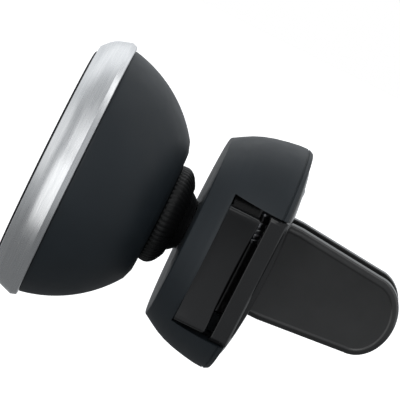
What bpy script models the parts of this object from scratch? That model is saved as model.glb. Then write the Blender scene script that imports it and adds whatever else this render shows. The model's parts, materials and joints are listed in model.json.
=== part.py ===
"""A magnetic car phone mount that clips to the blade of an air vent.

Frame: the common axis of head and base is Y. +Y points into the vent, -Y to the user and
+Z up, and the jaws lie side by side along X. The origin is the mouth of the gap between
the jaws, at the crown of the back cover. All lengths below are in millimetres.
"""
import math

import bmesh
import bpy
from mathutils import Matrix, Vector

for old in list(bpy.data.objects):
    bpy.data.objects.remove(old, do_unlink=True)

MM = 0.001
GAP = 0.3
STEPS = 40
NAME = "car_phone_mount"

# Places along Y
HEAD_JOINT_Y = -33.8
BASE_FRONT_Y = -14.3
BALL_DEPTH = 14.74
BALL_Y = HEAD_JOINT_Y + BALL_DEPTH
COVER_RIM_Y = -1.2

# Head
BOWL_R, BOWL_CENTRE, BOWL_WALL = 21.35, -3.7, 2.0
BOWL_BACK = 14.5
RING_R = 22.0
PAD_R, PAD_FRONT = 18.4, -5.7
MAGNET_R, MAGNET_THICK, MAGNET_CIRCLE = 4.5, 2.0, 12.2
SOCKET_SCREW_CIRCLE = 8.9

# Ball joint
BALL_R, SEAT_R, NECK_R, SHANK_R = 6.0, 6.3, 4.1, 2.9
COLLET_R = 7.05
NUT_RIBS = 20

# Base
WALL = 2.0
WINDOW_HALF, WINDOW_FRONT_Y = 11.2, -10.6
STRIP_X, STRIP_FRONT_Y = 15.5, -3.9
COVER_R, COVER_UNDER_Y = 16.9, -2.2
PIVOT_X, PIVOT_Y = 5.5, -4.6
PIN_R, BARREL_R = 1.0, 1.9
BOSS_IN, BOSS_OUT = 8.9, 11.9
POST_X, POST_Z = 4.2, 13.4

# Jaws
JAW_LENGTH, JAW_ROOT_HALF, JAW_TIP_HALF = 22.0, 8.2, 6.8
JAW_IN_X, JAW_OUT_X = 1.35, 3.4
GRIP_IN_X, GRIP_THICK, GRIP_MARGIN = 1.2, 0.6, 0.9
SLOT_IN, SLOT_OUT, SLOT_HALF = 0.95, 4.85, 9.1
ARM_HALF = 3.2
TAB_X, TAB_ROOT_X, TAB_HALF = 16.9, 14.6, 9.9
TAB_FRONT_Y, TAB_BACK_Y = -10.3, -4.9
SCOOP_R, SCOOP_DEPTH = 60.0, 0.75
PLUG_IN_X, PLUG_HALF = 10.0, 9.2
FLANGE_IN_X, FLANGE_OUT_X, FLANGE_HALF = 9.4, 10.2, 11.35

parts = bpy.data.collections.new(NAME)
cutters = bpy.data.collections.new("cutters")
bpy.context.scene.collection.children.link(parts)
bpy.context.scene.collection.children.link(cutters)
cutters.hide_render = True

ALONG_Y = Matrix.Rotation(math.radians(-90), 4, "X")


def material(name, colour, roughness, metallic=0.0):
    """One Principled material."""
    made = bpy.data.materials.new(name)
    made.use_nodes = True
    shader = made.node_tree.nodes["Principled BSDF"]
    shader.inputs["Base Color"].default_value = (*colour, 1)
    shader.inputs["Roughness"].default_value = roughness
    shader.inputs["Metallic"].default_value = metallic
    return made


def add(name, mesh, look=None, cutter=False):
    """A new object in its collection, with its own material."""
    made = bpy.data.objects.new(name, mesh)
    (cutters if cutter else parts).objects.link(made)
    if cutter:
        made.hide_render = True
        made.display_type = "WIRE"
    if look:
        mesh.materials.append(material(name, *look))
    return made


SOFT_BLACK = ((0.035, 0.037, 0.042), 0.55)
GLOSS_BLACK = ((0.02, 0.02, 0.022), 0.18)
SATIN_SILVER = ((0.62, 0.64, 0.67), 0.3, 1.0)
RUBBER = ((0.012, 0.012, 0.012), 0.8)
INNER_PLASTIC = ((0.03, 0.03, 0.03), 0.6)
STEEL = ((0.5, 0.5, 0.52), 0.35, 1.0)
NICKEL = ((0.7, 0.69, 0.66), 0.2, 1.0)


def sphere_arc(radius, centre, start, end, count):
    """Outline points (radius, y) on a sphere about the Y axis, from y=start to y=end."""
    first = math.acos(max(-1, min(1, (start - centre) / radius)))
    last = math.acos(max(-1, min(1, (end - centre) / radius)))
    angles = [first + (last - first) * i / (count - 1) for i in range(count)]
    return [(radius * math.sin(a), centre + radius * math.cos(a)) for a in angles]


def turned(name, outline, look=None, steps=STEPS, at=(0, 0)):
    """A body turned about Y from (radius, y) points in mm, closed unless it ends on the axis."""
    on_axis = outline[0][0] == 0 and outline[-1][0] == 0
    area = sum(
        a[0] * b[1] - b[0] * a[1] for a, b in zip(outline, outline[1:] + outline[:1])
    )
    if area > 0:
        outline = outline[::-1]
    mesh = bpy.data.meshes.new(name)
    points = [(r * MM, 0, y * MM) for r, y in outline]
    edges = [(i, i + 1) for i in range(len(points) - 1)]
    if not on_axis:
        edges.append((len(points) - 1, 0))
    mesh.from_pydata(points, edges, [])
    made = add(name, mesh, look)
    made.matrix_world = Matrix.Translation((at[0] * MM, 0, at[1] * MM)) @ ALONG_Y
    screw = made.modifiers.new("turn", "SCREW")
    screw.steps = screw.render_steps = steps
    screw.use_merge_vertices = True
    screw.merge_threshold = 0.00001
    screw.use_smooth_shade = True
    return made


def box(name, low, high, look=None, cutter=False):
    """A box between two corners in mm."""
    mesh = bpy.data.meshes.new(name)
    shape = bmesh.new()
    bmesh.ops.create_cube(shape, size=1)
    for v in shape.verts:
        v.co = Vector([(low[i] + (v.co[i] + 0.5) * (high[i] - low[i])) * MM for i in range(3)])
    shape.to_mesh(mesh)
    shape.free()
    return add(name, mesh, look, cutter)


def rod(name, radius, low, high, at, axis="Y", sides=20, look=None, cutter=False):
    """A cylinder along Y or Z from low to high in mm; at holds its other two coordinates."""
    mesh = bpy.data.meshes.new(name)
    shape = bmesh.new()
    bmesh.ops.create_cone(
        shape,
        cap_ends=True,
        segments=sides,
        radius1=radius * MM,
        radius2=radius * MM,
        depth=(high - low) * MM,
    )
    if axis == "Y":
        bmesh.ops.rotate(shape, verts=shape.verts, matrix=ALONG_Y.to_3x3())
        middle = Vector((at[0], (low + high) / 2, at[1])) * MM
    else:
        middle = Vector((at[0], at[1], (low + high) / 2)) * MM
    bmesh.ops.translate(shape, verts=shape.verts, vec=middle)
    shape.to_mesh(mesh)
    shape.free()
    return add(name, mesh, look, cutter)


def plate(name, outline, low, high, axis="Z", look=None, cutter=False):
    """A flat outline of (x, y) or, with axis X, (y, z) points in mm, extruded between two planes."""
    mesh = bpy.data.meshes.new(name)
    shape = bmesh.new()
    area = sum(
        a[0] * b[1] - b[0] * a[1] for a, b in zip(outline, outline[1:] + outline[:1])
    )
    if area < 0:
        outline = outline[::-1]
    if axis == "X":
        base = [Vector((low, u, v)) * MM for u, v in outline]
        rise = Vector((high - low, 0, 0)) * MM
    else:
        base = [Vector((u, v, low)) * MM for u, v in outline]
        rise = Vector((0, 0, high - low)) * MM
    face = shape.faces.new([shape.verts.new(p) for p in base])
    raised = bmesh.ops.extrude_face_region(shape, geom=[face])["geom"]
    moved = [v for v in raised if isinstance(v, bmesh.types.BMVert)]
    bmesh.ops.translate(shape, verts=moved, vec=rise)
    bmesh.ops.recalc_face_normals(shape, faces=shape.faces)
    shape.to_mesh(mesh)
    shape.free()
    return add(name, mesh, look, cutter)


def combine(target, others, how):
    """Applies a Boolean with each of the others, which stay as hidden helpers."""
    for other in others:
        step = target.modifiers.new(how.lower(), "BOOLEAN")
        step.operation = how
        step.solver = "EXACT"
        step.object = other
    return target


def cut(target, *others):
    return combine(target, others, "DIFFERENCE")


def join(target, *others):
    return combine(target, others, "UNION")


def spaced(count, circle, turn=0.0):
    """Centres (x, z) spread evenly on a circle about Y."""
    angles = [turn + 2 * math.pi * i / count for i in range(count)]
    return [(circle * math.cos(a), circle * math.sin(a)) for a in angles]


def head(y):
    """A depth behind the junction of shell and ring, as a world Y."""
    return HEAD_JOINT_Y + y


def shift(outline):
    return [(r, head(s)) for r, s in outline]


MAGNET_PLACES = spaced(6, MAGNET_CIRCLE)
SCREW_PLACES = spaced(3, SOCKET_SCREW_CIRCLE, math.radians(94))
POSTS = [(x, z) for x in (-POST_X, POST_X) for z in (-POST_Z, POST_Z)]


def make_head_shell():
    """The bowl, with a spigot for the ring in front and the collet's opening behind."""
    inner_r = BOWL_R - BOWL_WALL
    outer = [(20.6, -2.9), (20.6, GAP)]
    outer += sphere_arc(BOWL_R, BOWL_CENTRE, GAP, BOWL_BACK - 0.25, 9)
    outer += [(10.9, BOWL_BACK), (COLLET_R + GAP, BOWL_BACK)]
    wall = BOWL_BACK - BOWL_WALL
    inner = [(COLLET_R + GAP, wall)]
    inner += sphere_arc(inner_r, BOWL_CENTRE, wall, -0.4, 6)
    inner += [(19.4, -0.4), (19.4, -2.9)]
    shell = turned("head_shell", shift(outer + inner), SOFT_BLACK, steps=48)
    holes = [
        rod(f"shell_hole_{i}", 0.95, head(wall - 1), head(BOWL_BACK - 0.6), c, sides=12, cutter=True)
        for i, c in enumerate(SCREW_PLACES)
    ]
    return cut(shell, *holes)


def make_trim_ring():
    """The ring: a front bevel, a wide band, a thin back bevel and a lip over the carrier."""
    outline = [(18.7, -5.1), (19.0, -5.35), (21.0, -3.6), (21.2, -3.4), (RING_R, -0.7)]
    outline += [(RING_R, -0.45), (21.8, 0), (20.9, 0), (20.9, -3.15), (18.7, -4.6)]
    return turned("trim_ring", shift(outline), SATIN_SILVER, steps=56)


def make_face_pad():
    outline = [(0, PAD_FRONT), (PAD_R - 0.4, PAD_FRONT), (PAD_R, PAD_FRONT + 0.4)]
    outline += [(PAD_R, -4.5), (0, -4.5)]
    return turned("face_pad", shift(outline), RUBBER, steps=48)


def make_magnet_carrier():
    outline = [(0, -4.2), (18.3, -4.2), (18.3, -3.9), (19.1, -3.9), (19.1, -0.9), (0, -0.9)]
    carrier = turned("magnet_carrier", shift(outline), INNER_PLASTIC)
    pockets = [
        rod(f"pocket_{i}", MAGNET_R + GAP, head(-3.4), head(0.5), c, sides=24, cutter=True)
        for i, c in enumerate(MAGNET_PLACES)
    ]
    return cut(carrier, *pockets)


def make_magnets():
    for i, centre in enumerate(MAGNET_PLACES):
        front = head(-3.1)
        rod(f"magnet_{i + 1}", MAGNET_R, front, front + MAGNET_THICK, centre, sides=24, look=NICKEL)


def make_yoke_plate():
    outline = [(3.0, -0.6), (17.0, -0.6), (17.0, 0.4), (3.0, 0.4)]
    return turned("yoke_plate", shift(outline), STEEL)


def make_ball_socket():
    """A flanged cup: seat for the ball, recess for the friction pad, and a thin collet behind."""
    mouth, recess_r = 15.6, 4.8
    seat = sphere_arc(SEAT_R, BALL_DEPTH, mouth, BALL_DEPTH - math.sqrt(SEAT_R**2 - recess_r**2), 7)
    outline = [(0, 5.9), (COLLET_R, 5.9), (COLLET_R, 10.7), (10.35, 10.7), (10.35, 12.2)]
    outline += [(COLLET_R, 12.2), (COLLET_R, mouth)] + seat + [(recess_r, 7.1), (0, 7.1)]
    socket = turned("ball_socket", shift(outline), INNER_PLASTIC)
    holes = [
        rod(f"socket_hole_{i}", 1.1, head(10), head(13), c, sides=12, cutter=True)
        for i, c in enumerate(SCREW_PLACES)
    ]
    return cut(socket, *holes)


def pan_screw(name, centre, under, length, head_r=1.45, shank_r=0.65, height=1.0, sign=1):
    """A screw along Y with its head's underside at y=under and its tip in direction sign."""
    top, tip = under - sign * height, under + sign * length
    outline = [(0, top), (head_r * 0.8, top), (head_r, top + sign * 0.3), (head_r, under)]
    outline += [(shank_r, under), (shank_r, tip - sign * 0.4), (0, tip)]
    screw = turned(name, outline, STEEL, steps=14, at=centre)
    slot = box(
        f"{name}_slot",
        (centre[0] - 1.0, min(top, top + sign * 0.45) - 0.2 * (sign > 0), centre[1] - 0.2),
        (centre[0] + 1.0, max(top, top + sign * 0.45) + 0.2 * (sign < 0), centre[1] + 0.2),
        cutter=True,
    )
    return cut(screw, slot)


def make_socket_screws():
    for i, centre in enumerate(SCREW_PLACES):
        pan_screw(f"socket_screw_{i + 1}", centre, head(10.4), 3.1)


def make_friction_pad():
    """A thick disc, dished to the ball's radius."""
    edge_r, dish_r = 4.5, SEAT_R + 0.05
    rim = BALL_DEPTH - math.sqrt(SEAT_R**2 - edge_r**2)
    dish = sphere_arc(dish_r, BALL_DEPTH, rim, BALL_DEPTH - dish_r, 5)
    outline = [(0, 7.4), (edge_r, 7.4)] + dish
    outline[-1] = (0, outline[-1][1])
    return turned("friction_pad", shift(outline), RUBBER, steps=32)


def make_collar_nut():
    """A ribbed nut: bore over the collet, then a seat that closes round the ball."""
    outline = [(7.35, 14.8), (8.0, 14.8), (8.2, 15.0), (7.8, 15.9), (7.2, 16.7), (6.0, 17.9)]
    outline += [(5.5, 17.9), (5.95, 17.0), (6.3, 15.95), (7.35, 15.9)]
    nut = turned("collar_nut", shift(outline), SOFT_BLACK, steps=NUT_RIBS * 2)
    for i in range(NUT_RIBS):
        angle = 2 * math.pi * (i + 0.5) / NUT_RIBS
        groove = box(f"nut_groove_{i}", (7.55, head(14), -0.28), (9, head(16.6), 0.28), cutter=True)
        groove.matrix_world = Matrix.Rotation(angle, 4, "Y")
        cut(nut, groove)
    return nut


def make_ball_stud():
    """Ball, neck with a shoulder on the base's front face, and a shank through the wall."""
    shoulder = BASE_FRONT_Y - GAP
    leave = BALL_Y + math.sqrt(BALL_R**2 - NECK_R**2)
    outline = sphere_arc(BALL_R, BALL_Y, BALL_Y - BALL_R, leave, 10)
    outline[0] = (0, BALL_Y - BALL_R)
    outline += [(NECK_R, shoulder - 0.2), (NECK_R - 0.2, shoulder), (SHANK_R, shoulder)]
    outline += [(SHANK_R, -9.4), (SHANK_R - 0.4, -9.1), (0, -9.1)]
    return turned("ball_stud", outline, GLOSS_BLACK, steps=28)


def make_stud_fasteners():
    inside = BASE_FRONT_Y + WALL
    washer = [(SHANK_R + GAP, inside + GAP), (5.0, inside + GAP), (5.0, inside + 1.0)]
    washer.append((SHANK_R + GAP, inside + 1.0))
    turned("stud_washer", washer, STEEL, steps=32)
    nut = rod("stud_nut", 5.0, inside + 1.3, inside + 3.0, (0, 0), sides=6, look=STEEL)
    bore = rod("stud_nut_bore", SHANK_R + GAP, inside, inside + 5, (0, 0), sides=24, cutter=True)
    cut(nut, bore)


def make_front_housing():
    """The domed base: flat front wall, side wall with two windows, bosses, posts and a rib."""
    y = BASE_FRONT_Y
    inside = y + WALL
    outline = [(SHANK_R + GAP, y), (14.9, y), (15.4, y + 0.12), (15.7, y + 0.55)]
    outline += [(16.4, y + 1.6), (17.05, y + 2.7), (17.75, y + 4.3), (18.35, y + 6.1)]
    outline += [(18.85, y + 8.5), (19.25, y + 11.0), (19.25, y + 12.0), (18.9, y + 12.5)]
    outline += [(18.2, y + 12.7), (17.3, y + 12.7), (17.3, y + 10.9)]
    outline += [(16.4, y + 6.1), (14.9, y + 2.6), (14.2, inside), (SHANK_R + GAP, inside)]
    housing = turned("front_housing", outline, SOFT_BLACK, steps=52)
    for side in (1, -1):
        window = box(
            f"window_{side}",
            (9 if side > 0 else -25, WINDOW_FRONT_Y, -WINDOW_HALF),
            (25 if side > 0 else -9, 2, WINDOW_HALF),
            cutter=True,
        )
        cut(housing, window)
        for end in (1, -1):
            low, high = sorted((end * BOSS_IN, end * BOSS_OUT))
            left, right = sorted((side * (PIVOT_X - 1.8), side * (PIVOT_X + 1.8)))
            boss = box(
                f"boss_{side}_{end}",
                (left, inside - 0.5, low),
                (right, PIVOT_Y + 1.8, high),
                cutter=True,
            )
            join(housing, boss)
    rib = box("blade_rib", (-0.65, inside - 0.5, -8.4), (0.65, COVER_UNDER_Y - GAP, 8.4), cutter=True)
    clear = rod("rib_clearance", 5.6, inside - 1, inside + 3.9, (0, 0), sides=24, cutter=True)
    cut(rib, clear)
    join(housing, rib)
    for i, (x, z) in enumerate(POSTS):
        post = rod(f"post_{i}", 1.75, inside - 0.5, COVER_UNDER_Y - GAP, (x, z), sides=16, cutter=True)
        bore = rod(f"post_bore_{i}", 0.95, -6.2, 0, (x, z), sides=12, cutter=True)
        cut(join(housing, post), bore)
    for side in (1, -1):
        hole = rod(
            f"pin_hole_{side}", PIN_R + GAP, -11.7, 11.7, (side * PIVOT_X, PIVOT_Y), "Z", 16, cutter=True
        )
        cut(housing, hole)
    return housing


def make_back_cover():
    """A shallow cap with a flat strip on each side, a slot for each jaw and four screw holes."""
    outline = [(0, 0), (7.5, 0), (9.0, -0.06), (12.0, -0.3), (14.5, -0.65), (16.3, -1.0)]
    outline += [(COVER_R, COVER_RIM_Y - 0.2), (COVER_R, COVER_UNDER_Y), (0, COVER_UNDER_Y)]
    cover = turned("back_cover", outline, GLOSS_BLACK, steps=52)
    for side in (1, -1):
        trim = box(
            f"cover_trim_{side}",
            (13.4 if side > 0 else -20, -3, -WINDOW_HALF),
            (20 if side > 0 else -13.4, 1, WINDOW_HALF),
            cutter=True,
        )
        cut(cover, trim)
        half = WINDOW_HALF - GAP
        left, right = sorted((side * 13.0, side * STRIP_X))
        strip = plate(
            f"strip_{side}",
            [
                (left, STRIP_FRONT_Y),
                (right, STRIP_FRONT_Y),
                (right, -1.25 if side > 0 else -0.55),
                (right - 0.45 if side > 0 else right, -0.8 if side > 0 else -0.55),
                (left + 0.45 if side < 0 else left, -0.55 if side > 0 else -0.8),
                (left, -0.55 if side > 0 else -1.25),
            ],
            -half,
            half,
            cutter=True,
        )
        join(cover, strip)
        slot = box(
            f"jaw_slot_{side}",
            (SLOT_IN if side > 0 else -SLOT_OUT, -5, -SLOT_HALF),
            (SLOT_OUT if side > 0 else -SLOT_IN, 2, SLOT_HALF),
            cutter=True,
        )
        cut(cover, slot)
    for i, (x, z) in enumerate(POSTS):
        hole = rod(f"cover_hole_{i}", 0.95, -5, 2, (x, z), sides=12, cutter=True)
        seat = rod(f"cover_seat_{i}", 1.75, -1.6, 2, (x, z), sides=16, cutter=True)
        cut(cover, hole, seat)
    return cover


def make_cover_screws():
    for i, centre in enumerate(POSTS):
        pan_screw(f"cover_screw_{i + 1}", centre, -1.3, 4.4, height=0.7, sign=-1)


def paddle_outline():
    """The jaw's blade seen along X: (y, z) points, tapered, with a rounded end."""
    round_start = JAW_LENGTH - JAW_TIP_HALF * 0.8
    points = [(-3.0, -JAW_ROOT_HALF), (2.0, -JAW_ROOT_HALF)]
    for i in range(13):
        angle = -math.pi / 2 + math.pi * i / 12
        along = round_start + JAW_TIP_HALF * 0.8 * math.cos(angle)
        points.append((along, JAW_TIP_HALF * math.sin(angle)))
    points += [(2.0, JAW_ROOT_HALF), (-3.0, JAW_ROOT_HALF)]
    return points


def grip_outline(margin):
    """The paddle's outline past its root, drawn in by a margin."""
    middle_y, half_y = JAW_LENGTH / 2 + 0.75, JAW_LENGTH / 2 - 0.75
    shrink_y, shrink_z = 1 - margin / half_y, 1 - margin / JAW_TIP_HALF
    return [
        (middle_y + (max(y, 1.5) - middle_y) * shrink_y, z * shrink_z)
        for y, z in paddle_outline()
        if y > 0
    ]


def make_jaw(name, side):
    """Paddle, hinge barrel round the pivot pin, and a lever arm that the button presses."""
    empty = bpy.data.objects.new(f"{name}_pivot", None)
    empty.location = Vector((side * PIVOT_X, PIVOT_Y, 0)) * MM
    parts.objects.link(empty)
    low, high = sorted((side * JAW_IN_X, side * JAW_OUT_X))
    jaw = plate(name, paddle_outline(), low, high, "X", GLOSS_BLACK)
    edge = jaw.modifiers.new("edge", "BEVEL")
    edge.width = 0.55 * MM
    edge.segments = 2
    edge.limit_method = "ANGLE"
    recess_low, recess_high = sorted((side * (JAW_IN_X - 0.5), side * (GRIP_IN_X + GRIP_THICK + GAP)))
    recess = plate(
        f"{name}_recess", grip_outline(GRIP_MARGIN - GAP), recess_low, recess_high, "X", cutter=True
    )
    cut(jaw, recess)
    web = [(JAW_IN_X, -2.5), (3.3, -2.5), (5.5, -3.4), (5.5, -5.8), (2.4, -5.0), (JAW_IN_X, -3.6)]
    arm = [(4.2, -5.2), (6.9, -4.8), (8.9, -9.2), (8.9, -11.2), (7.6, -11.2), (7.4, -9.4)]
    solids = [
        plate(f"{name}_web", [(side * x, y) for x, y in web], -8.3, 8.3, cutter=True),
        rod(f"{name}_barrel", BARREL_R, -8.4, 8.4, (side * PIVOT_X, PIVOT_Y), "Z", 20, cutter=True),
        plate(f"{name}_arm", [(side * x, y) for x, y in arm], -ARM_HALF, ARM_HALF, cutter=True),
    ]
    join(jaw, *solids)
    window = box(
        f"{name}_coil_room",
        (side * PIVOT_X - 3.2, PIVOT_Y - 3.2, ARM_HALF + 0.6),
        (side * PIVOT_X + 3.2, COVER_UNDER_Y - 0.25, 7.4),
        cutter=True,
    )
    bore = rod(f"{name}_bore", PIN_R + GAP, -10, 10, (side * PIVOT_X, PIVOT_Y), "Z", 16, cutter=True)
    cut(jaw, window, bore)
    for piece in (jaw, recess, *solids, window, bore):
        piece.parent = empty
        piece.matrix_parent_inverse = Matrix.Translation(-empty.location)
    return empty


def make_grip_pad(name, side, pivot):
    """The thin rubber face on the inner side of a jaw."""
    low, high = sorted((side * GRIP_IN_X, side * (GRIP_IN_X + GRIP_THICK)))
    pad = plate(name, grip_outline(GRIP_MARGIN), low, high, "X", RUBBER)
    pad.parent = pivot
    pad.matrix_parent_inverse = Matrix.Translation(-pivot.location)


def make_spring(name, side, pivot):
    """A torsion spring on the pin: three turns, one leg on the lever arm and one to the rib."""
    turns, per_turn, radius, wire = 3, 10, 1.65, 0.25
    low, high = ARM_HALF + 1.1, 6.9
    points = [(side * 7.6, PIVOT_Y - 4.4, low)]
    for i in range(turns * per_turn + 1):
        angle = -math.pi * 0.1 + 2 * math.pi * i / per_turn
        x = PIVOT_X + radius * math.cos(angle)
        z = low + (high - low) * i / (turns * per_turn)
        points.append((side * x, PIVOT_Y + radius * math.sin(angle), z))
    points.append((side * 4.6, PIVOT_Y - 4.2, high))
    curve = bpy.data.curves.new(name, "CURVE")
    curve.dimensions = "3D"
    curve.bevel_depth = wire * MM
    curve.bevel_resolution = 1
    curve.use_fill_caps = True
    spline = curve.splines.new("POLY")
    spline.points.add(len(points) - 1)
    for target, point in zip(spline.points, points):
        target.co = (*(Vector(point) * MM), 1)
    spring = bpy.data.objects.new(name, curve)
    parts.objects.link(spring)
    curve.materials.append(material(name, *STEEL))
    spring.parent = pivot
    spring.matrix_parent_inverse = Matrix.Translation(-pivot.location)


def make_button(name, side):
    """A thumb tab with a shallow scoop, a flange that keeps it in its window, and a post."""
    low, high = sorted((side * TAB_ROOT_X, side * TAB_X))
    tab = box(name, (low, TAB_FRONT_Y, -TAB_HALF), (high, TAB_BACK_Y, TAB_HALF), GLOSS_BLACK)
    edge = tab.modifiers.new("edge", "BEVEL")
    edge.width = 0.35 * MM
    edge.segments = 2
    inner, outer = sorted((side * PLUG_IN_X, side * (TAB_ROOT_X + GAP)))
    plug = box(
        f"{name}_plug",
        (inner, TAB_FRONT_Y + 0.4, -PLUG_HALF),
        (outer, TAB_BACK_Y - 0.4, PLUG_HALF),
        cutter=True,
    )
    inner, outer = sorted((side * FLANGE_IN_X, side * FLANGE_OUT_X))
    flange = box(
        f"{name}_flange",
        (inner, TAB_FRONT_Y + 0.1, -FLANGE_HALF),
        (outer, STRIP_FRONT_Y - GAP, FLANGE_HALF),
        cutter=True,
    )
    inner, outer = sorted((side * (FLANGE_IN_X - 0.2), side * (FLANGE_OUT_X - 0.1)))
    post = box(f"{name}_post", (inner, TAB_FRONT_Y - 0.1, -2.8), (outer, -8.2, 2.8), cutter=True)
    centre = side * (TAB_X + SCOOP_R - SCOOP_DEPTH)
    scoop = rod(f"{name}_scoop", SCOOP_R, -20, 0, (centre, 0), sides=128, cutter=True)
    join(tab, plug, flange, post)
    return cut(tab, scoop)


def main():
    make_head_shell()
    make_trim_ring()
    make_face_pad()
    make_magnet_carrier()
    make_magnets()
    make_yoke_plate()
    make_ball_socket()
    make_socket_screws()
    make_friction_pad()
    make_collar_nut()
    make_ball_stud()
    make_stud_fasteners()
    make_front_housing()
    make_back_cover()
    make_cover_screws()
    for word, side in (("right", 1), ("left", -1)):
        pivot = make_jaw(f"{word}_jaw", side)
        make_grip_pad(f"{word}_grip_pad", side, pivot)
        make_spring(f"{word}_spring", side, pivot)
        rod(
            f"{word}_pivot_pin",
            PIN_R,
            -11.4,
            11.4,
            (side * PIVOT_X, PIVOT_Y),
            "Z",
            16,
            look=STEEL,
        )
        make_button(f"{word}_button", side)


main()
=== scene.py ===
"""Looks for the magnetic car phone mount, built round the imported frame.

The common axis of head and base is Y, +Y points into the vent and +Z is up.
Helper functions take millimetres, and every piece's mesh is in metres in the row frame.
"""
import json
import math

import bmesh
import bpy
from mathutils import Matrix, Vector


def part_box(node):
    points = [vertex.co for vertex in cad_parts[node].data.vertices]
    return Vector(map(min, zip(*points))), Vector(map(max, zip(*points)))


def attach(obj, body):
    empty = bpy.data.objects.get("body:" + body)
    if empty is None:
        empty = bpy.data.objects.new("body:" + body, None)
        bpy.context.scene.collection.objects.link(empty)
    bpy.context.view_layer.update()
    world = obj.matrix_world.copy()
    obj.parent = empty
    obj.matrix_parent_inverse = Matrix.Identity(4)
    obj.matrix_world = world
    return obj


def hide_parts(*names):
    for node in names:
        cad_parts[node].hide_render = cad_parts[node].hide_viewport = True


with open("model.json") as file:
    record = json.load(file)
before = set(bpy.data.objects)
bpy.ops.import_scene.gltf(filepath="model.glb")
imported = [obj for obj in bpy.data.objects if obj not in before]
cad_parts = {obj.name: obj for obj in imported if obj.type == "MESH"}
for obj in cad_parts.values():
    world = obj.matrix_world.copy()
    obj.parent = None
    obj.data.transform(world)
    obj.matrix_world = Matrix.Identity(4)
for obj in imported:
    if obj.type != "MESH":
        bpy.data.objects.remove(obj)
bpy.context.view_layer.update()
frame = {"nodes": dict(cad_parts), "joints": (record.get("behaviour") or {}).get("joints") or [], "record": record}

MM = 0.001
SMOOTH_ANGLE, RIBBED_ANGLE = math.radians(32), math.radians(50)
MERGE = 0.002
SCENE = bpy.context.scene
ALONG_Y = Matrix.Rotation(math.radians(-90), 4, "X")


# ---------------------------------------------------------------- frame sizes

def span(node):
    """A CAD node's lowest and highest corner, in millimetres."""
    low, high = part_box(node)
    return low / MM, high / MM


SHELL, RING, PAD = span("head_shell"), span("trim_ring"), span("face_pad")
NUT, STUD, HOUSING = span("collar_nut"), span("ball_stud"), span("front_housing")
COVER, TAB, JAW = span("back_cover"), span("right_button"), span("right_jaw")
GRIP, PIN = span("right_grip_pad"), span("right_pivot_pin")
JOINTS = {j["name"]: j for j in frame["joints"]}

JUNCTION_Y = RING[1].y
RING_R = RING[1].x
BALL_Y = JOINTS["ball_tilt"]["pos_m"][1] / MM
BALL_R = STUD[1].x
PIVOT_X = JOINTS["right_jaw_open"]["pos_m"][0] / MM
PIVOT_Y = JOINTS["right_jaw_open"]["pos_m"][1] / MM
PIN_R = (PIN[1].x - PIN[0].x) / 2
BASE_Y = HOUSING[0].y
GAP = 0.3


# ---------------------------------------------------------------- mesh helpers

def new_object(name, mesh):
    """An object in the scene with the given data."""
    made = bpy.data.objects.new(name, mesh)
    SCENE.collection.objects.link(made)
    return made


def bake_modifiers(obj):
    """Replaces an object's mesh by its evaluated one, in world space, and clears its modifiers."""
    bpy.context.view_layer.update()
    graph = bpy.context.evaluated_depsgraph_get()
    mesh = bpy.data.meshes.new_from_object(obj.evaluated_get(graph), depsgraph=graph)
    mesh.transform(obj.matrix_world)
    made = new_object("baked", mesh)
    name = obj.name
    bpy.data.objects.remove(obj)
    made.name = name
    return made


def smooth(obj, angle=SMOOTH_ANGLE):
    """Smooth shading, with a sharp edge wherever faces meet at more than the angle."""
    obj.data.shade_smooth()
    obj.data.set_sharp_from_angle(angle=angle)
    return obj


def fillet(points, closed=True, steps=5):
    """An outline with its corners rounded: points are (u, v) or (u, v, radius)."""
    count = len(points)
    found = []
    for i, point in enumerate(points):
        radius = point[2] if len(point) > 2 else 0
        here = Vector(point[:2])
        if not radius or (not closed and i in (0, count - 1)):
            found.append(here)
            continue
        before = Vector(points[i - 1][:2]) - here
        after = Vector(points[(i + 1) % count][:2]) - here
        half = before.angle(after) / 2
        reach = min(radius / math.tan(half), before.length * 0.49, after.length * 0.49)
        radius = reach * math.tan(half)
        start, end = here + before.normalized() * reach, here + after.normalized() * reach
        centre = here + (before.normalized() + after.normalized()).normalized() * radius / math.sin(half)
        first, last = start - centre, end - centre
        turn = first.angle_signed(last)
        for k in range(steps + 1):
            found.append(centre + Matrix.Rotation(-turn * k / steps, 2) @ first)
    return [tuple(p) for p in found]


def sphere_arc(radius, centre, start, end, count):
    """Points (radius, y) on a sphere about the Y axis, from y=start to y=end."""
    first = math.acos(max(-1, min(1, (start - centre) / radius)))
    last = math.acos(max(-1, min(1, (end - centre) / radius)))
    angles = [first + (last - first) * i / (count - 1) for i in range(count)]
    return [(radius * math.sin(a), centre + radius * math.cos(a)) for a in angles]


def lathe(name, outline, steps=160, at=(0, 0)):
    """A body turned about Y from (radius, y) points; at is the axis's (x, z)."""
    on_axis = max(abs(outline[0][0]), abs(outline[-1][0])) < 1e-6
    pairs = zip(outline, outline[1:] + outline[:1])
    if sum(a[0] * b[1] - b[0] * a[1] for a, b in pairs) > 0:
        outline = outline[::-1]
    mesh = bpy.data.meshes.new(name)
    edges = [(i, i + 1) for i in range(len(outline) - 1)]
    if not on_axis:
        edges.append((len(outline) - 1, 0))
    mesh.from_pydata([(r * MM, 0, y * MM) for r, y in outline], edges, [])
    made = new_object(name, mesh)
    made.matrix_world = Matrix.Translation((at[0] * MM, 0, at[1] * MM)) @ ALONG_Y
    screw = made.modifiers.new("turn", "SCREW")
    screw.steps = screw.render_steps = steps
    screw.use_merge_vertices = True
    screw.merge_threshold = MERGE * MM
    return smooth(bake_modifiers(made))


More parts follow.
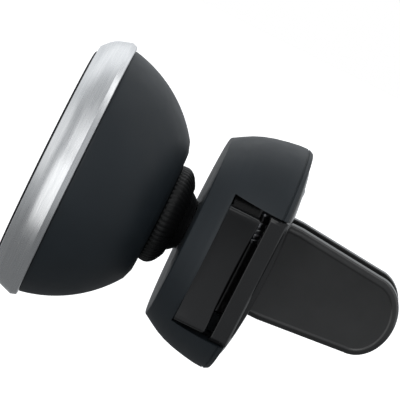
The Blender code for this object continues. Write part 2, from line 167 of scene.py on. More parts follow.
def stack(name, rings):
    """A closed body through rings of points, each ring as long as the next, with flat ends."""
    shape = bmesh.new()
    layers = [[shape.verts.new(Vector(p) * MM) for p in ring] for ring in rings]
    shape.faces.new(layers[0])
    shape.faces.new(layers[-1][::-1])
    for low, high in zip(layers, layers[1:]):
        for i in range(len(low)):
            k = (i + 1) % len(low)
            shape.faces.new((low[k], low[i], high[i], high[k]))
    bmesh.ops.recalc_face_normals(shape, faces=shape.faces)
    mesh = bpy.data.meshes.new(name)
    shape.to_mesh(mesh)
    shape.free()
    return smooth(new_object(name, mesh))


def prism(name, outline, low, high, axis="X"):
    """An outline pushed along an axis: (y, z) points along X, (x, y) along Z, (x, z) along Y."""
    place = {
        "X": lambda u, v, w: (w, u, v),
        "Y": lambda u, v, w: (u, w, v),
        "Z": lambda u, v, w: (u, v, w),
    }[axis]
    return stack(name, [[place(u, v, w) for u, v in outline] for w in (low, high)])


def block(name, low, high):
    """A box between two corners."""
    outline = [(low[0], low[1]), (high[0], low[1]), (high[0], high[1]), (low[0], high[1])]
    return prism(name, outline, low[2], high[2], "Z")


def rod(name, radius, low, high, at, axis="Y", sides=48):
    """A cylinder along an axis; at holds its other two coordinates."""
    angles = [2 * math.pi * i / sides for i in range(sides)]
    outline = [(at[0] + radius * math.cos(a), at[1] + radius * math.sin(a)) for a in angles]
    return prism(name, outline, low, high, axis)


def rounded(obj, radius, segments=3, angle=30):
    """Real rounded edges on every edge sharper than the angle."""
    step = obj.modifiers.new("edges", "BEVEL")
    step.width = radius * MM
    step.segments = segments
    step.limit_method = "ANGLE"
    step.angle_limit = math.radians(angle)
    step.harden_normals = False
    step.use_clamp_overlap = True
    step.loop_slide = False
    return smooth(bake_modifiers(obj))


def boolean(target, tools, how):
    """Cuts or joins with helper solids, which are removed afterwards."""
    for tool in tools:
        step = target.modifiers.new(how.lower(), "BOOLEAN")
        step.operation = how
        step.solver = "EXACT"
        step.object = tool
    made = bake_modifiers(target)
    for tool in tools:
        bpy.data.objects.remove(tool)
    return smooth(made)


def cut(target, *tools):
    """Takes helper solids away from a body."""
    return boolean(target, tools, "DIFFERENCE")


def join(target, *tools):
    """Joins helper solids to a body."""
    return boolean(target, tools, "UNION")


def tube(name, points, radius):
    """A closed round wire through a list of points."""
    curve = bpy.data.curves.new(name, "CURVE")
    curve.dimensions = "3D"
    curve.bevel_depth = radius * MM
    curve.bevel_resolution = 5
    curve.use_fill_caps = True
    spline = curve.splines.new("POLY")
    spline.points.add(len(points) - 1)
    for target, point in zip(spline.points, points):
        target.co = (*(Vector(point) * MM), 1)
    made = bake_modifiers(new_object(name, curve))
    shape = bmesh.new()
    shape.from_mesh(made.data)
    bmesh.ops.remove_doubles(shape, verts=shape.verts, dist=MERGE * MM)
    shape.to_mesh(made.data)
    shape.free()
    return smooth(made, RIBBED_ANGLE)


def inset(outline, distance):
    """A convex closed outline drawn in along its own normals."""
    count = len(outline)
    found = []
    for i, here in enumerate(outline):
        before = Vector(here) - Vector(outline[i - 1])
        after = Vector(outline[(i + 1) % count]) - Vector(here)
        normal = (before.normalized() + after.normalized()).normalized()
        corner = max(0.5, math.cos(before.angle(after) / 2))
        found.append((here[0] - normal.y * distance / corner, here[1] + normal.x * distance / corner))
    return found


# ---------------------------------------------------------------- materials

# Metres that a mark round the axis takes up per radian, and the range of noise that is used
TURN_LENGTH, NOISE_RANGE = 0.0006, (0.3, 0.7)
RANGE_SOCKETS = ("From Min", "From Max", "To Min", "To Max")


class Look:
    """A Principled material, with short ways to add procedural detail to it."""

    def __init__(
        self, name, colour, roughness, metallic=0.0, specular=0.5, coat=0.0, coat_roughness=0.1
    ):
        self.material = bpy.data.materials.new(name)
        self.material.use_nodes = True
        self.tree = self.material.node_tree
        self.shader = self.tree.nodes["Principled BSDF"]
        values = {
            "Base Color": (*colour, 1),
            "Roughness": roughness,
            "Metallic": metallic,
            "Specular IOR Level": specular,
            "Coat Weight": coat,
            "Coat Roughness": coat_roughness,
        }
        for key, value in values.items():
            self.shader.inputs[key].default_value = value
        self.place = self.tree.nodes.new("ShaderNodeTexCoord").outputs["Object"]
        self.height = None

    def node(self, kind, **settings):
        """A new shader node with the given settings."""
        made = self.tree.nodes.new(kind)
        for key, value in settings.items():
            setattr(made, key, value)
        return made

    def link(self, source, target):
        self.tree.links.new(source, target)

    def math(self, operation, first, second=0.0):
        """The output of a math node, whose inputs are sockets or numbers."""
        made = self.node("ShaderNodeMath", operation=operation)
        for socket, value in zip(made.inputs, (first, second)):
            if isinstance(value, (int, float)):
                socket.default_value = value
            else:
                self.link(value, socket)
        return made.outputs[0]

    def noise(self, size, detail=3.0, place=None, stretch=None):
        """Noise whose grain is about size mm across."""
        made = self.node("ShaderNodeTexNoise")
        made.inputs["Scale"].default_value = 1 / (size * MM)
        made.inputs["Detail"].default_value = detail
        source = place or self.place
        if stretch:
            scaled = self.node("ShaderNodeVectorMath", operation="MULTIPLY")
            self.link(source, scaled.inputs[0])
            scaled.inputs[1].default_value = stretch
            source = scaled.outputs[0]
        self.link(source, made.inputs["Vector"])
        return made.outputs["Fac"]

    def about_axis(self):
        """Coordinates (radius, y, angle scaled to a length) for marks that run round the Y axis."""
        parts = self.node("ShaderNodeSeparateXYZ")
        self.link(self.place, parts.inputs[0])
        x, y, z = parts.outputs
        squares = self.math("ADD", self.math("MULTIPLY", x, x), self.math("MULTIPLY", z, z))
        radius = self.math("SQRT", squares)
        turn = self.math("MULTIPLY", self.math("ARCTAN2", x, z), TURN_LENGTH)
        made = self.node("ShaderNodeCombineXYZ")
        for socket, value in zip(made.inputs, (radius, y, turn)):
            self.link(value, socket)
        return made.outputs[0]

    def spread(self, source, low, high):
        """Noise stretched to run from low to high."""
        made = self.node("ShaderNodeMapRange")
        self.link(source, made.inputs["Value"])
        for key, value in zip(RANGE_SOCKETS, (*NOISE_RANGE, low, high)):
            made.inputs[key].default_value = value
        return made.outputs["Result"]

    def vary_roughness(self, source, low, high):
        self.link(self.spread(source, low, high), self.shader.inputs["Roughness"])

    def vary_colour(self, source, dark, light):
        mix = self.node("ShaderNodeMix", data_type="RGBA")
        self.link(self.spread(source, 0, 1), mix.inputs["Factor"])
        mix.inputs[6].default_value = (*dark, 1)
        mix.inputs[7].default_value = (*light, 1)
        self.link(mix.outputs[2], self.shader.inputs["Base Color"])

    def bump(self, source, depth, strength):
        """Adds relief of about depth mm."""
        made = self.node("ShaderNodeBump")
        made.inputs["Strength"].default_value = strength
        made.inputs["Distance"].default_value = depth * MM
        self.link(source, made.inputs["Height"])
        if self.height:
            self.link(self.height, made.inputs["Normal"])
        self.height = made.outputs["Normal"]
        self.link(self.height, self.shader.inputs["Normal"])


def soft_touch(name="soft_touch_black", colour=(0.0145, 0.0202, 0.0252)):
    """Rubber-painted plastic: a fine even grain and a broad soft sheen."""
    look = Look(name, colour, 0.5, specular=0.42)
    dark, light = [c * 0.92 for c in colour], [c * 1.1 for c in colour]
    look.vary_colour(look.noise(6.0), dark, light)
    look.vary_roughness(look.noise(3.0, 4), 0.46, 0.54)
    look.bump(look.noise(0.16, 2), 0.006, 0.5)
    return look.material


def gloss(name="gloss_black", colour=(0.011, 0.0112, 0.0118), low=0.1, high=0.17):
    """High-gloss moulded plastic: slight flow waviness and faint handling haze."""
    look = Look(name, colour, low, specular=0.5, coat=0.12, coat_roughness=0.06)
    look.vary_colour(look.noise(5.0), [c * 0.9 for c in colour], [c * 1.15 for c in colour])
    look.vary_roughness(look.noise(2.2, 4), low, high)
    look.bump(look.noise(4.0, 1), 0.012, 0.35)
    look.bump(look.noise(0.3, 2), 0.0008, 0.4)
    return look.material


def satin_metal():
    """Aluminium ring, finely brushed round its axis."""
    look = Look("satin_silver", (0.78, 0.795, 0.82), 0.3, metallic=1.0)
    lines = look.noise(0.07, 3, look.about_axis())
    marks = look.noise(0.25, 3, look.about_axis())
    look.vary_colour(marks, (0.82, 0.83, 0.84), (0.93, 0.935, 0.94))
    look.vary_roughness(lines, 0.24, 0.38)
    look.bump(lines, 0.0015, 0.6)
    return look.material


def rubber():
    """Matt black rubber with a fine grain."""
    colour = (0.009, 0.009, 0.0095)
    look = Look("rubber_black", colour, 0.75, specular=0.35)
    look.vary_colour(look.noise(2.5), [c * 0.85 for c in colour], [c * 1.3 for c in colour])
    look.vary_roughness(look.noise(0.8, 4), 0.66, 0.86)
    look.bump(look.noise(0.12, 3), 0.012, 0.6)
    return look.material


def moulded():
    """As-moulded engineering plastic for the hidden pieces."""
    colour = (0.02, 0.02, 0.021)
    look = Look("inner_plastic", colour, 0.55, specular=0.4)
    look.vary_colour(look.noise(3.0), [c * 0.85 for c in colour], [c * 1.2 for c in colour])
    look.vary_roughness(look.noise(1.0, 4), 0.48, 0.64)
    look.bump(look.noise(0.2, 3), 0.008, 0.5)
    return look.material


def plated(name, colour, low, high, grain):
    """Plated or drawn metal with a faint directional grain."""
    look = Look(name, colour, low, metallic=1.0)
    look.vary_colour(look.noise(1.2), [c * 0.88 for c in colour], [min(1, c * 1.08) for c in colour])
    look.vary_roughness(look.noise(grain, 4, stretch=(1, 0.25, 1)), low, high)
    look.bump(look.noise(grain, 3, stretch=(1, 0.25, 1)), 0.002, 0.5)
    return look.material


LOOKS = {
    "soft_touch_black": soft_touch(),
    "nut": soft_touch("nut_black", (0.006, 0.0063, 0.0066)),
    "gloss_black": gloss(),
    # The paddle's gloss black is lighter than the cover's: a painted sheen standing in for the grey surroundings
    # its face reflects.
    "paddle": gloss("paddle_black_painted_sheen", (0.0285, 0.0285, 0.0285), 0.12, 0.2),
    "satin_silver": satin_metal(),
    "rubber": rubber(),
    "inner_plastic": moulded(),
    "zinc_steel": plated("zinc_steel", (0.56, 0.57, 0.59), 0.26, 0.42, 0.3),
    "nickel": plated("nickel", (0.74, 0.72, 0.68), 0.1, 0.22, 0.5),
}


def finished(piece, node, slot, look=None):
    """Gives a piece its material, its body and its slot, and hides the CAD node it stands for."""
    piece.data.materials.clear()
    piece.data.materials.append(LOOKS[look or slot])
    body = next(b for b, nodes in frame["record"]["behaviour"]["bodies"].items() if node in nodes)
    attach(piece, body)
    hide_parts(node)


# ---------------------------------------------------------------- head

def head(points):
    """Outline depths behind the junction of bowl and ring, as world Y."""
    return [(p[0], JUNCTION_Y + p[1], *p[2:]) for p in points]


# Bowl: radius of its sphere, the sphere's centre behind the junction, wall, back and neck opening
BOWL_R, BOWL_CENTRE, BOWL_WALL = 21.35, -3.7, 2.0
BOWL_BACK = SHELL[1].y - JUNCTION_Y
NECK_R = 7.05 + GAP


def make_bowl():
    """The soft-touch bowl: a sphere's side with a flat, open back."""
    outer = [(20.6, -2.9), (20.6, 0.08), (20.95, 0.08, 0.06)]
    outer += sphere_arc(BOWL_R, BOWL_CENTRE, 0.2, BOWL_BACK - 0.55, 44)
    outer += [(10.75, BOWL_BACK - 0.12), (10.45, BOWL_BACK), (NECK_R, BOWL_BACK)]
    wall = BOWL_BACK - BOWL_WALL
    inner = [(NECK_R, wall)]
    inner += sphere_arc(BOWL_R - BOWL_WALL, BOWL_CENTRE, wall, -0.4, 24)
    inner += [(19.4, -0.4), (19.4, -2.9)]
    bowl = lathe("bowl", fillet(head(outer + inner)), 200)
    finished(bowl, "head_shell", "soft_touch_black")


def make_ring():
    """The metal ring: a small lip in front, a large round flank and a bevel at the bowl."""
    outline = [(18.7, -5.15, 0.08), (18.95, -5.35, 0.1), (19.4, -5.3, 0.12), (21.1, -3.7, 4.4)]
    outline += [(RING_R, -0.95, 0.12), (21.72, -0.1, 0.1), (21.5, 0, 0.05), (20.9, 0)]
    outline += [(20.9, -3.15), (18.7, -4.6, 0.1)]
    ring = lathe("ring", fillet(head(outline), steps=12), 240)
    finished(ring, "trim_ring", "satin_silver")


def make_face():
    """The rubber disc, very slightly crowned with a rounded rim and a fine raised bead."""
    front, back, edge = PAD[0].y, PAD[1].y, PAD[1].x
    outline = [(0, front + 0.05), (edge - 1.6, front + 0.05), (edge - 1.45, front)]
    outline += [(edge - 1.0, front), (edge, front + 0.02, 0.45), (edge, back), (0, back)]
    face = lathe("face_disc", fillet(outline, closed=False), 160)
    finished(face, "face_pad", "rubber")


def make_nut():
    """Collar nut: a domed body with fine ribs, closing on the ball's neck."""
    front, back = NUT[0].y - 0.22, NUT[1].y
    ribs, sides, depth = 60, 480, 0.13
    reach = NUT[1].x
    outer = [(reach - 0.3, front), (reach - 0.06, front + 0.15), (reach, front + 0.5)]
    outer += [(reach + 0.02, front + 1.1), (reach - 0.12, front + 1.6), (reach - 0.45, front + 2.1)]
    outer += [(reach - 0.95, front + 2.55), (reach - 1.6, back - 0.38), (reach - 2.1, back - 0.12)]
    outer += [(reach - 2.4, back)]
    inner = [(5.5, back), (5.95, back - 0.9), (6.3, back - 1.95), (7.35, back - 2.0), (7.35, front)]
    shape = bmesh.new()
    rings = []
    first, last = 2, 7
    for k, (radius, y) in enumerate(outer + inner):
        groove = depth if first <= k <= last else 0.0
        ring = []
        for i in range(sides):
            angle = 2 * math.pi * i / sides
            here = radius - groove * (1 - abs(math.sin(angle * ribs / 2)))
            place = Vector((here * math.cos(angle), y, here * math.sin(angle)))
            ring.append(shape.verts.new(place * MM))
        rings.append(ring)
    for low, high in zip(rings, rings[1:] + rings[:1]):
        for i in range(sides):
            k = (i + 1) % sides
            shape.faces.new((low[i], low[k], high[k], high[i]))
    bmesh.ops.recalc_face_normals(shape, faces=shape.faces)
    mesh = bpy.data.meshes.new("ribbed_nut")
    shape.to_mesh(mesh)
    shape.free()
    nut = smooth(new_object("ribbed_nut", mesh), RIBBED_ANGLE)
    finished(nut, "collar_nut", "soft_touch_black", "nut")


# ---------------------------------------------------------------- ball stud

def make_stud():
    """Ball, neck and shank in one turned piece."""
    neck, shank = 4.1, 2.9
    shoulder = BASE_Y - GAP
    leave = BALL_Y + math.sqrt(BALL_R**2 - neck**2)
    outline = sphere_arc(BALL_R, BALL_Y, BALL_Y - BALL_R, leave - 0.1, 40)
    outline[0] = (0, BALL_Y - BALL_R)
    outline += [(neck, leave + 0.35, 0.2), (neck, shoulder, 0.3), (shank, shoulder)]
    outline += [(shank, STUD[1].y, 0.4), (0, STUD[1].y)]
    stud = lathe("stud", fillet(outline, closed=False), 96)
    finished(stud, "ball_stud", "gloss_black")


# ---------------------------------------------------------------- base

# Window's half height and front edge, front wall, underside of the cover and back edge of the tabs
WINDOW_HALF, WINDOW_Y = 11.2, BASE_Y + 3.7
WALL, COVER_UNDER, TAB_BACK = 2.0, -2.2, -5.5
SCREW_R, POST_R, BOSS_HALF = 0.95, 1.75, 1.8
POSTS = [(c.x, c.z) for c in (sum(span(f"cover_screw_{i}"), Vector()) / 2 for i in range(1, 5))]


def make_base():
    """The domed housing with its windows, bosses, posts and rib."""
    y, inside, top = BASE_Y, BASE_Y + WALL, COVER_UNDER - GAP
    outline = [(3.2, y), (15.45, y, 0.4), (15.8, y + 0.6, 0.4), (16.5, y + 1.75, 3), (17.2, y + 3.0, 4)]
    outline += [(17.85, y + 4.5, 5), (18.4, y + 6.3, 6), (18.87, y + 8.5, 6), (19.15, y + 10.3, 5)]
    outline += [(19.22, y + 11.65, 0.1), (19.02, y + 11.75, 0.04), (19.02, y + 11.9, 0.04)]
    outline += [(19.2, y + 12.0, 0.08), (18.85, y + 12.7, 0.25), (17.3, y + 12.7, 0.1), (17.3, y + 10.9)]
    outline += [(16.4, y + 6.1), (14.9, y + 2.6), (14.2, inside), (3.2, inside)]
    housing = lathe("base_housing", fillet(outline, steps=6), 224)
    windows, solids, holes = [], [], []
    for s in (1, -1):
        low, high = sorted((s * 9, s * 25))
        windows.append(block("window", (low, WINDOW_Y, -WINDOW_HALF), (high, 2, WINDOW_HALF)))
        left, right = sorted((s * (PIVOT_X - BOSS_HALF), s * (PIVOT_X + BOSS_HALF)))
        for end in (1, -1):
            low, high = sorted((end * 8.9, end * 11.9))
            solids.append(block("boss", (left, inside - 0.5, low), (right, PIVOT_Y + BOSS_HALF, high)))
        holes.append(rod("pin_hole", PIN_R + GAP, -11.7, 11.7, (s * PIVOT_X, PIVOT_Y), "Z"))
    housing = rounded(cut(housing, *windows), 0.12, 2, 45)
    rib = block("rib", (-0.65, inside - 0.5, -8.4), (0.65, top, 8.4))
    solids.append(cut(rib, rod("rib_clearance", 5.6, inside - 1, inside + 3.9, (0, 0))))
    for place in POSTS:
        solids.append(rod("post", POST_R, inside - 0.5, top, place))
        holes.append(rod("post_bore", SCREW_R, -6.2, 0, place, sides=24))
    housing = cut(join(housing, *solids), *holes)
    finished(housing, "front_housing", "soft_touch_black")


# Strips: front and back edge of the outer face, inner edge, and the radius their corners keep inside
STRIP_FRONT, STRIP_BACK, STRIP_ROOT, STRIP_REACH = COVER[0].y - 0.3, -1.7, 13.0, 18.55


def make_cover():
    """The glossy cap with a flat strip in each window, and a slot for each jaw."""
    rim = COVER[1].z
    outline = [(0, 0), (7.0, 0), (9.0, -0.06), (12.0, -0.3), (14.5, -0.65), (16.2, -1.0)]
    outline += [(rim, -1.35, 0.3), (rim, COVER_UNDER), (0, COVER_UNDER)]
    cover = lathe("cap", fillet(outline, closed=False), 192)
    cuts, strips = [], []
    for s in (1, -1):
        low, high = sorted((s * 13.4, s * 20))
        cuts.append(block("trim", (low, -3, -WINDOW_HALF), (high, 1, WINDOW_HALF)))
    cover = cut(cover, *cuts)
    half, edge = WINDOW_HALF - GAP, COVER[1].x
    for s in (1, -1):
        outline = [(STRIP_ROOT, STRIP_FRONT), (edge, STRIP_FRONT, 0.2), (edge, STRIP_BACK, 0.3)]
        outline += [(edge - 0.9, -1.32, 0.3), (STRIP_ROOT, -1.3)]
        outline = [(s * x, *rest) for x, *rest in outline]
        strips.append(prism("strip", fillet(outline), -half, half, "Z"))
    outside = [(STRIP_REACH, -6), (STRIP_REACH, 2), (24, 2), (24, -6)]
    outside = lathe("outside", outside, 192)
    cover = cut(join(cover, *strips), outside)
    cuts = []
    for s in (1, -1):
        low, high = sorted((s * 0.95, s * 4.85))
        cuts.append(block("slot", (low, -5, -9.1), (high, 2, 9.1)))
    for place in POSTS:
        cuts.append(rod("hole", SCREW_R, -5, 2, place, sides=24))
        cuts.append(rod("seat", POST_R, -1.6, 2, place))
    cover = rounded(cut(cover, *cuts), 0.1, 2, 45)
    finished(cover, "back_cover", "gloss_black")


def make_cover_screw(number):
    """A pan-head screw with a rounded rim and a cross recess."""
    node = f"cover_screw_{number}"
    low, high = span(node)
    centre, reach, under = (low + high) / 2, (high.x - low.x) / 2, high.y - 0.7
    outline = [(0, high.y), (reach * 0.6, high.y, 0.4), (reach, high.y - 0.3, 0.25), (reach, under, 0.1)]
    outline += [(0.65, under), (0.65, low.y + 0.5), (0, low.y)]
    place = (centre.x, centre.z)
    screw = lathe(f"cap_screw_{number}", fillet(outline, closed=False), 48, at=place)
    depth, half, arm = 0.4, 0.14, reach * 0.62
    slots = []
    for x, z in ((arm, half), (half, arm)):
        low = (place[0] - x, high.y - depth, place[1] - z)
        slots.append(block("cross", low, (place[0] + x, 2, place[1] + z)))
    finished(cut(screw, *slots), node, "zinc_steel")


def make_tab(word, side):
    """A thumb tab: rounded edges, a long shallow scoop, a flange behind the wall and a post."""
    top, root, inner = TAB[1].x, 14.6, TAB[0].x
    front, back, half, edge = WINDOW_Y + 0.03, TAB_BACK, 9.9, 0.55
    low, high = sorted((side * root, side * top))
    tab = block("tab", (low, front - 1, -half), (high, back, half))
    scoop_r, scoop_depth = 60.0, 0.75
    middle = (side * (top + scoop_r - scoop_depth), 0)
    scoop = rod("scoop", scoop_r, front - 5, back + 5, middle, "Y", 256)
    tab = rounded(cut(tab, scoop), edge, 6, 20)
    tab = cut(tab, block("trim", (low - 1, front - 3, -half - 1), (high + 1, front, half + 1)))
    solids = []
    for near, far, y_low, y_high, reach in (
        (inner + 0.8, root + GAP, front + 0.5, back - 0.4, 9.2),
        (inner + 0.2, inner + 1.0, WINDOW_Y + 0.4, back, TAB[1].z),
        (inner, inner + 0.9, TAB[0].y, WINDOW_Y + 2.4, 2.8),
    ):
        low, high = sorted((side * near, side * far))
        solids.append(block("stem", (low, y_low, -reach), (high, y_high, reach)))
    tab = join(tab, *solids)
    tab.name = f"{word}_tab"
    finished(tab, f"{word}_button", "gloss_black")


# ---------------------------------------------------------------- jaws

# Jaw: half heights at root and tip, outer face, barrel radius and half length, and half arm height
JAW_ROOT, JAW_TIP, JAW_OUT, BARREL_R, BARREL_HALF, ARM_HALF = 8.2, 6.8, 3.4, 1.9, 8.4, 3.2


def paddle_outline(count=40):
    """The jaw seen along X: tapered sides and a full round end."""
    length, root, tip = JAW[1].y, JAW_ROOT, JAW_TIP
    reach = tip * 0.8
    points = [(-2.9, -root), (2.0, -root)]
    points += [
        (length - reach + reach * math.cos(a), tip * math.sin(a))
        for a in (-math.pi / 2 + math.pi * i / count for i in range(count + 1))
    ]
    return points + [(2.0, root), (-2.9, root)]


def make_jaw(word, side):
    """Paddle with a rounded outer face and a recess for its pad, a barrel and a lever arm."""
    inner, outer, edge, dip = JAW[0].x, JAW_OUT, 0.95, 0.14
    edge_steps, dip_steps, dip_pitch = 8, 6, 0.06
    outline = paddle_outline()
    layers = [(inner, 0.15), (inner + 0.15, 0.0), (outer - edge, 0.0)]
    for k in range(1, edge_steps + 1):
        a = math.pi / 2 * k / edge_steps
        layers.append((outer - edge + edge * math.sin(a), edge * (1 - math.cos(a))))
    for k in range(1, dip_steps + 1):
        a = math.pi * k / dip_steps
        layers.append((outer - dip * (1 - math.cos(a)) / 2, edge + dip_pitch * k))
    rings = [[(side * x, u, v) for u, v in inset(outline, d)] for x, d in layers]
    jaw = stack("paddle", rings)
    low, high = sorted((side * (inner - 0.5), side * (GRIP[1].x + GAP)))
    recess = prism("recess", grip_outline(-GAP), low, high, "X")
    jaw = cut(jaw, recess)
    web = [(inner, -2.5), (3.3, -2.5), (5.5, -3.4), (5.5, -5.8), (2.4, -5.0), (inner, -3.6)]
    arm = [(4.2, -5.2), (6.9, -4.8), (8.9, -9.2, 0.6), (8.9, -11.2, 0.5)]
    arm += [(7.6, -11.2, 0.5), (7.4, -9.4, 1)]
    pivot = (side * PIVOT_X, PIVOT_Y)
    jaw = join(
        jaw,
        prism("web", [(side * x, y) for x, y in web], 0.1 - BARREL_HALF, BARREL_HALF - 0.1, "Z"),
        rod("barrel", BARREL_R, -BARREL_HALF, BARREL_HALF, pivot, "Z", 64),
        prism("arm", [(side * x, y) for x, y in fillet(arm)], -ARM_HALF, ARM_HALF, "Z"),
    )
    reach = 3.2
    room = block("coil_room", (pivot[0] - reach, pivot[1] - reach, 3.8), (pivot[0] + reach, -2.45, 7.4))
    bore = rod("bore", PIN_R + GAP, -10, 10, pivot, "Z", 48)
    jaw = cut(jaw, room, bore)
    jaw.name = f"{word}_paddle"
    # The paddle look is the gloss black made lighter, a painted sheen in its colour.
    finished(jaw, f"{word}_jaw", "gloss_black", "paddle")


def grip_outline(margin):
    """The rubber pad's outline: the paddle's, drawn in to the CAD pad, less a margin."""
    low, high = GRIP
    middle = (low.y + high.y) / 2
    reach = (high.y - low.y) / 2 - margin
    across = (high.z - margin) / high.z
    base = [(max(u, 1.5), v) for u, v in paddle_outline(24) if u > 0]
    u_low, u_high = min(u for u, _ in base), max(u for u, _ in base)
    v_high = max(v for _, v in base)
    along = [middle + (2 * (u - u_low) / (u_high - u_low) - 1) * reach for u, _ in base]
    return [(y, v / v_high * high.z * across) for y, (_, v) in zip(along, base)]


def make_grip(word, side):
    """Rubber pad with fine cross ribs on the face that meets the vent blade."""
    low, high = GRIP
    pitch, depth = 1.2, 0.22
    teeth = int((high.y - low.y) / pitch) + 1
    ridges = [(side * high.x, low.y - 1)]
    for k in range(teeth):
        start = low.y + k * pitch
        ridges += [
            (side * (low.x + depth), start),
            (side * (low.x + 0.04), start + pitch * 0.25),
            (side * low.x, start + pitch * 0.5),
            (side * (low.x + 0.04), start + pitch * 0.75),
        ]
    ridges += [(side * (low.x + depth), high.y + 1), (side * high.x, high.y + 1)]
    bar = prism("ridges", ridges, -10, 10, "Z")
    inner, outer = sorted((side * (low.x - 1), side * (high.x + 1)))
    shape = prism("grip", grip_outline(0), inner, outer, "X")
    grip = boolean(bar, [shape], "INTERSECT")
    grip.name = f"{word}_grip"
    finished(grip, f"{word}_grip_pad", "rubber")


def make_pin(word, side):
    """Steel hinge pin with rounded ends."""
    pin = rod("pin", PIN_R, PIN[0].z, PIN[1].z, (side * PIVOT_X, PIVOT_Y), "Z")
    pin = rounded(pin, 0.2, 3, 45)
    pin.name = f"{word}_pin"
    finished(pin, f"{word}_pivot_pin", "zinc_steel")


def make_spring(word, side):
    """Torsion spring: three round turns on the pin, one leg on the arm and one by the rib."""
    turns, per_turn, radius, wire = 3, 36, 1.65, 0.25
    low, high = 4.3, 6.9
    points = [(side * 7.6, PIVOT_Y - 4.4, low)]
    for i in range(turns * per_turn + 1):
        angle = -math.pi * 0.1 + 2 * math.pi * i / per_turn
        x, y = PIVOT_X + radius * math.cos(angle), PIVOT_Y + radius * math.sin(angle)
        points.append((side * x, y, low + (high - low) * i / (turns * per_turn)))
    points.append((side * 4.6, PIVOT_Y - 4.2, high))
    finished(tube(f"{word}_coil", points, wire), f"{word}_spring", "zinc_steel")


# ---------------------------------------------------------------- scene

# Where the camera looks: millimetres towards the vent and up in its own upright direction
AIM_Y, AIM_RISE = -14.4, 4.27


def make_camera():
    """A long lens from the right, a little above, rolled so that the jaws point down to the right."""
    elevation, swing, roll = math.radians(13.9), math.radians(2.5), math.radians(26.8)
    distance, frame_width, sensor = 361 * MM, 63.4 * MM, 36.0
    level = Vector((math.sin(swing), math.cos(swing), 0))
    back = Vector((math.cos(elevation) * level.y, -math.cos(elevation) * level.x, math.sin(elevation)))
    rise = back.cross(level)
    aim = (level * AIM_Y + rise * AIM_RISE) * MM
    right = math.cos(roll) * level + math.sin(roll) * rise
    up = -math.sin(roll) * level + math.cos(roll) * rise
    data = bpy.data.cameras.new("camera")
    data.sensor_width = sensor
    data.lens = sensor * distance / frame_width
    data.clip_start, data.clip_end = 0.01, 20
    camera = bpy.data.objects.new("camera", data)
    SCENE.collection.objects.link(camera)
    turn = Matrix((right, up, back)).transposed().to_4x4()
    camera.matrix_world = Matrix.Translation(aim + back * distance) @ turn
    SCENE.camera = camera
    return right, up, back, aim


# Strength of the world's light from above and from below, and the heights between which it changes
ROOM_LIGHT, FLOOR_LIGHT, FLOOR_SHADE = 0.42, 0.17, (-0.6, -0.15)
# Glow up behind the object: its direction, where it starts and ends, and its strength
BACKDROP_UP, BACKDROP_BEHIND = 0.62, 0.78
BACKDROP_START, BACKDROP_END, BACKDROP_LIGHT = 0.45, 0.95, 0.34
FLOOR_Z, FLOOR_HALF = -300, 2000
# Name, place from the aim point in metres (right, up and towards the camera), size and watts
SOFT_BOXES = (
    ("top_front", (-0.02, 0.27, 0.42), (0.3, 0.3), 0.25),
    ("top_back", (0, 0.4, -0.25), (0.5, 0.3), 0.11),
    ("front", (-0.05, 0.1, 0.5), (0.4, 0.4), 0.26),
    ("left_front", (-0.4, -0.06, 0.45), (0.35, 0.6), 0.48),
    ("right", (0.45, 0.0, 0.02), (0.3, 0.65), 0.3),
    ("right_up", (0.35, 0.35, 0.05), (0.2, 0.2), 0.11),
    ("right_back", (0.35, 0.3, -0.3), (0.3, 0.3), 0.07),
    ("left", (-0.45, 0.3, 0.0), (0.3, 0.3), 0.12),
)


def area_light(name, place, target, size, power):
    """A rectangular soft box that faces the target."""
    data = bpy.data.lights.new(name, "AREA")
    data.shape = "RECTANGLE"
    data.size, data.size_y = size
    data.energy = power
    light = bpy.data.objects.new(name, data)
    SCENE.collection.objects.link(light)
    look = (Vector(target) - Vector(place)).to_track_quat("-Z", "Y")
    light.matrix_world = Matrix.Translation(place) @ look.to_matrix().to_4x4()


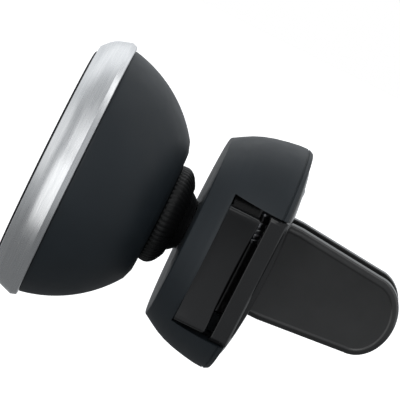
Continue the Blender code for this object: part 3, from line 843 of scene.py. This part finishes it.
def make_surroundings(right, up, back, aim):
    """White studio: a pale floor, a white world for the camera and a dim one for light."""
    world = bpy.data.worlds.new("studio")
    SCENE.world = world
    world.use_nodes = True
    tree = world.node_tree

    def made(kind, **settings):
        node = tree.nodes.new(kind)
        for key, value in settings.items():
            setattr(node, key, value)
        return node

    direction = made("ShaderNodeTexCoord").outputs["Generated"]

    def glow(towards, start, end, strength):
        """Light that grows from start to end, the cosine of the angle to a fixed direction."""
        dot = made("ShaderNodeVectorMath", operation="DOT_PRODUCT")
        tree.links.new(direction, dot.inputs[0])
        dot.inputs[1].default_value = towards
        ramp = made("ShaderNodeMapRange", interpolation_type="SMOOTHSTEP")
        tree.links.new(dot.outputs["Value"], ramp.inputs["Value"])
        for name, value in zip(RANGE_SOCKETS, (start, end, 0, strength)):
            ramp.inputs[name].default_value = value
        return ramp.outputs["Result"]

    total = made("ShaderNodeMath", operation="ADD")
    behind = (up * BACKDROP_UP - back * BACKDROP_BEHIND).normalized()
    backdrop = glow(behind, BACKDROP_START, BACKDROP_END, BACKDROP_LIGHT)
    tree.links.new(backdrop, total.inputs[0])
    tree.links.new(glow((0, 0, 1), *FLOOR_SHADE, ROOM_LIGHT - FLOOR_LIGHT), total.inputs[1])
    lit = made("ShaderNodeMath", operation="ADD")
    tree.links.new(total.outputs[0], lit.inputs[0])
    lit.inputs[1].default_value = FLOOR_LIGHT
    dim = made("ShaderNodeBackground")
    dim.inputs["Color"].default_value = (0.94, 0.97, 1, 1)
    tree.links.new(lit.outputs[0], dim.inputs["Strength"])
    shown = tree.nodes["Background"]
    shown.inputs["Color"].default_value = (1, 1, 1, 1)
    mix = made("ShaderNodeMixShader")
    tree.links.new(made("ShaderNodeLightPath").outputs["Is Camera Ray"], mix.inputs[0])
    tree.links.new(dim.outputs[0], mix.inputs[1])
    tree.links.new(shown.outputs[0], mix.inputs[2])
    tree.links.new(mix.outputs[0], tree.nodes["World Output"].inputs["Surface"])
    SCENE.view_settings.view_transform = "Standard"

    low, high = (-FLOOR_HALF, -FLOOR_HALF, FLOOR_Z - 1), (FLOOR_HALF, FLOOR_HALF, FLOOR_Z)
    floor = block("floor", low, high)
    paint = Look("floor_white", (0.9, 0.9, 0.9), 0.9)
    paint.shader.inputs["Emission Color"].default_value = (1, 1, 1, 1)
    paint.shader.inputs["Emission Strength"].default_value = 0.85
    paint.vary_roughness(paint.noise(40), 0.8, 0.95)
    floor.data.materials.append(paint.material)
    floor.visible_glossy = False
    floor.visible_diffuse = False

    for name, (side, rise, near), size, power in SOFT_BOXES:
        place = aim + right * side + up * rise + back * near
        area_light(name, place, aim, size, power)


def main():
    right, up, back, aim = make_camera()
    make_surroundings(right, up, back, aim)
    make_bowl()
    make_ring()
    make_face()
    make_nut()
    make_stud()
    make_base()
    make_cover()
    for number in range(1, 5):
        make_cover_screw(number)
    for word, side in (("right", 1), ("left", -1)):
        make_tab(word, side)
        make_jaw(word, side)
        make_grip(word, side)
        make_pin(word, side)
        make_spring(word, side)
    for node in frame["nodes"]:
        slot = next(s["material_slot"] for s in frame["record"]["subparts"] if s["node"] == node)
        materials = frame["nodes"][node].data.materials
        materials.clear()
        materials.append(LOOKS[slot])


main()
